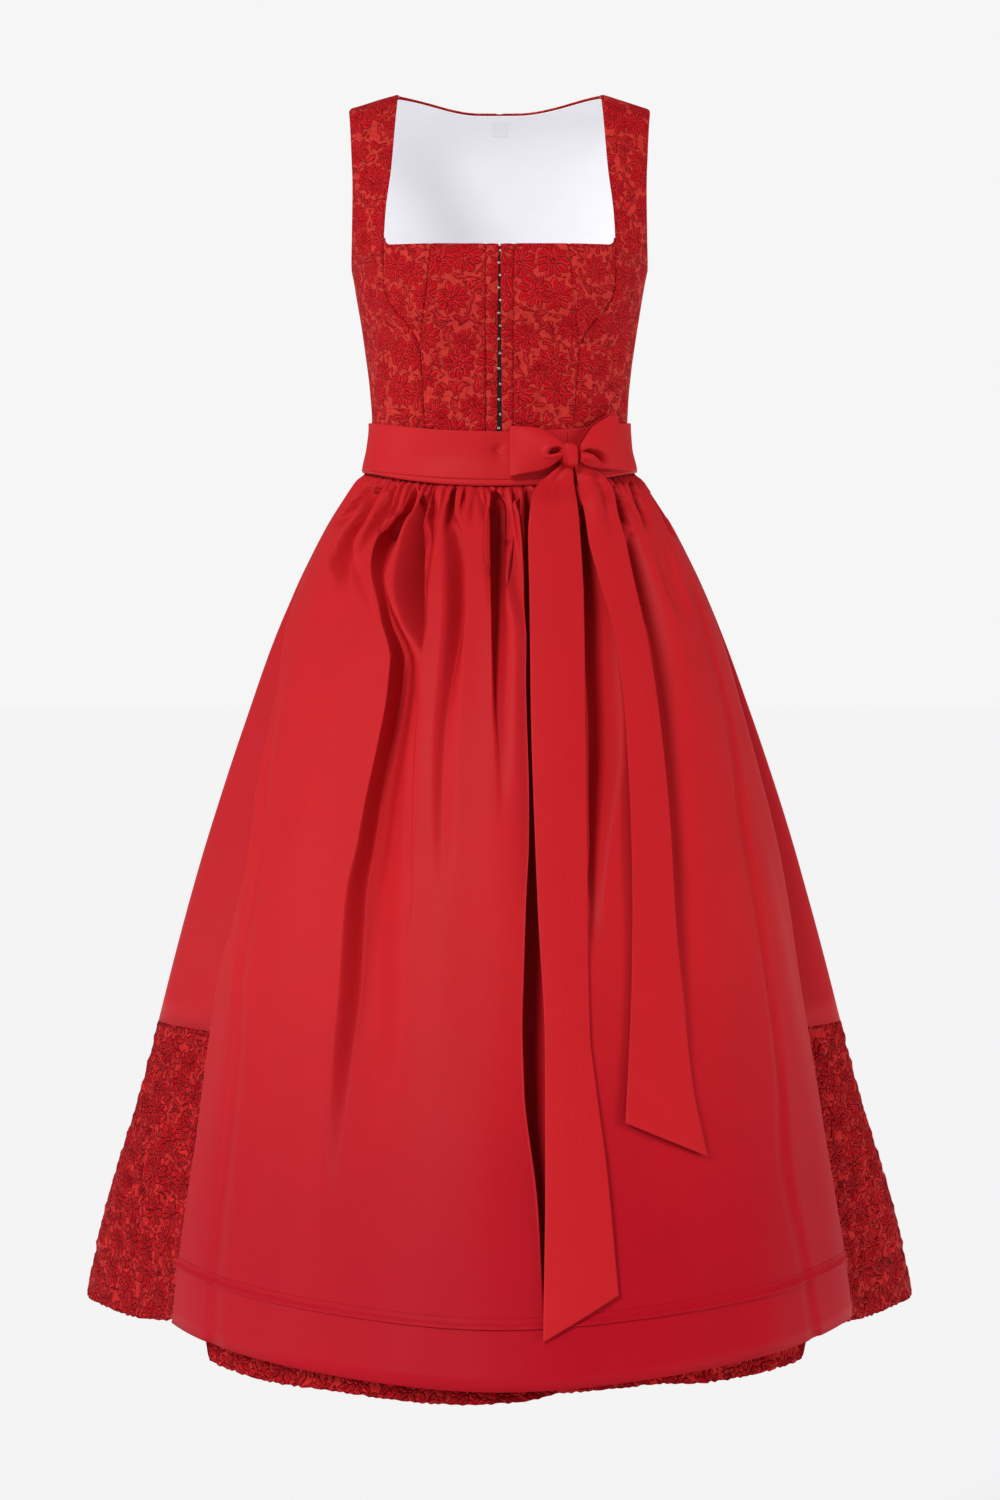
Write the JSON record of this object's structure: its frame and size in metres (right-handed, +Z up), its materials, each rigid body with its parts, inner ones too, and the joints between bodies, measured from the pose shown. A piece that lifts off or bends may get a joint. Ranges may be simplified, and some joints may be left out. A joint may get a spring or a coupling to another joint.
{
  "type": "dirndl dress with tied apron",
  "caption": "Sleeveless dirndl with a square-necked brocade bodice, a gathered skirt with a brocade hem border, and an apron tied with a bow.",
  "frame": {"origin": "midway between the two shoulder seams, at their height, where the wearer's shoulders carry the dress", "axes": "+Z up along the wearer's height, the front faces -Y, +X to the right of one who looks at the front"},
  "size_m": [0.783, 0.7919, 1.1439],
  "materials": {
    "brocade": "red floral brocade with a raised weave",
    "satin": "smooth red satin",
    "apron_satin": "smooth light red satin",
    "lining": "smooth white cotton",
    "tape": "matt black tape"
  },
  "bodies": {
    "root": {"apron_panel": "apron_satin", "apron_tuck": "apron_satin", "apron_waistband": "apron_satin", "back_centre_left": "brocade", "back_centre_right": "brocade", "back_side_left": "brocade", "back_side_right": "brocade", "border_back_left": "brocade", "border_back_right": "brocade", "border_front_left": "brocade", "border_front_right": "brocade", "bow_end_left": "apron_satin", "bow_end_right": "apron_satin", "bow_knot": "apron_satin", "bow_loop_left": "apron_satin", "bow_loop_right": "apron_satin", "front_centre_left": "brocade", "front_centre_right": "brocade", "front_cup_left": "brocade", "front_cup_right": "brocade", "front_side_left": "brocade", "front_side_right": "brocade", "hook_tape": "tape", "lining_centre_left": "lining", "lining_centre_right": "lining", "lining_side_left": "lining", "lining_side_right": "lining", "placket_left": "brocade", "placket_right": "brocade", "sash_back": "apron_satin", "sash_front_left": "apron_satin", "sash_front_right": "apron_satin", "size_label": "lining", "skirt_back_left": "satin", "skirt_back_right": "satin", "skirt_front_left": "satin", "skirt_front_right": "satin"}
  },
  "joints": []
}
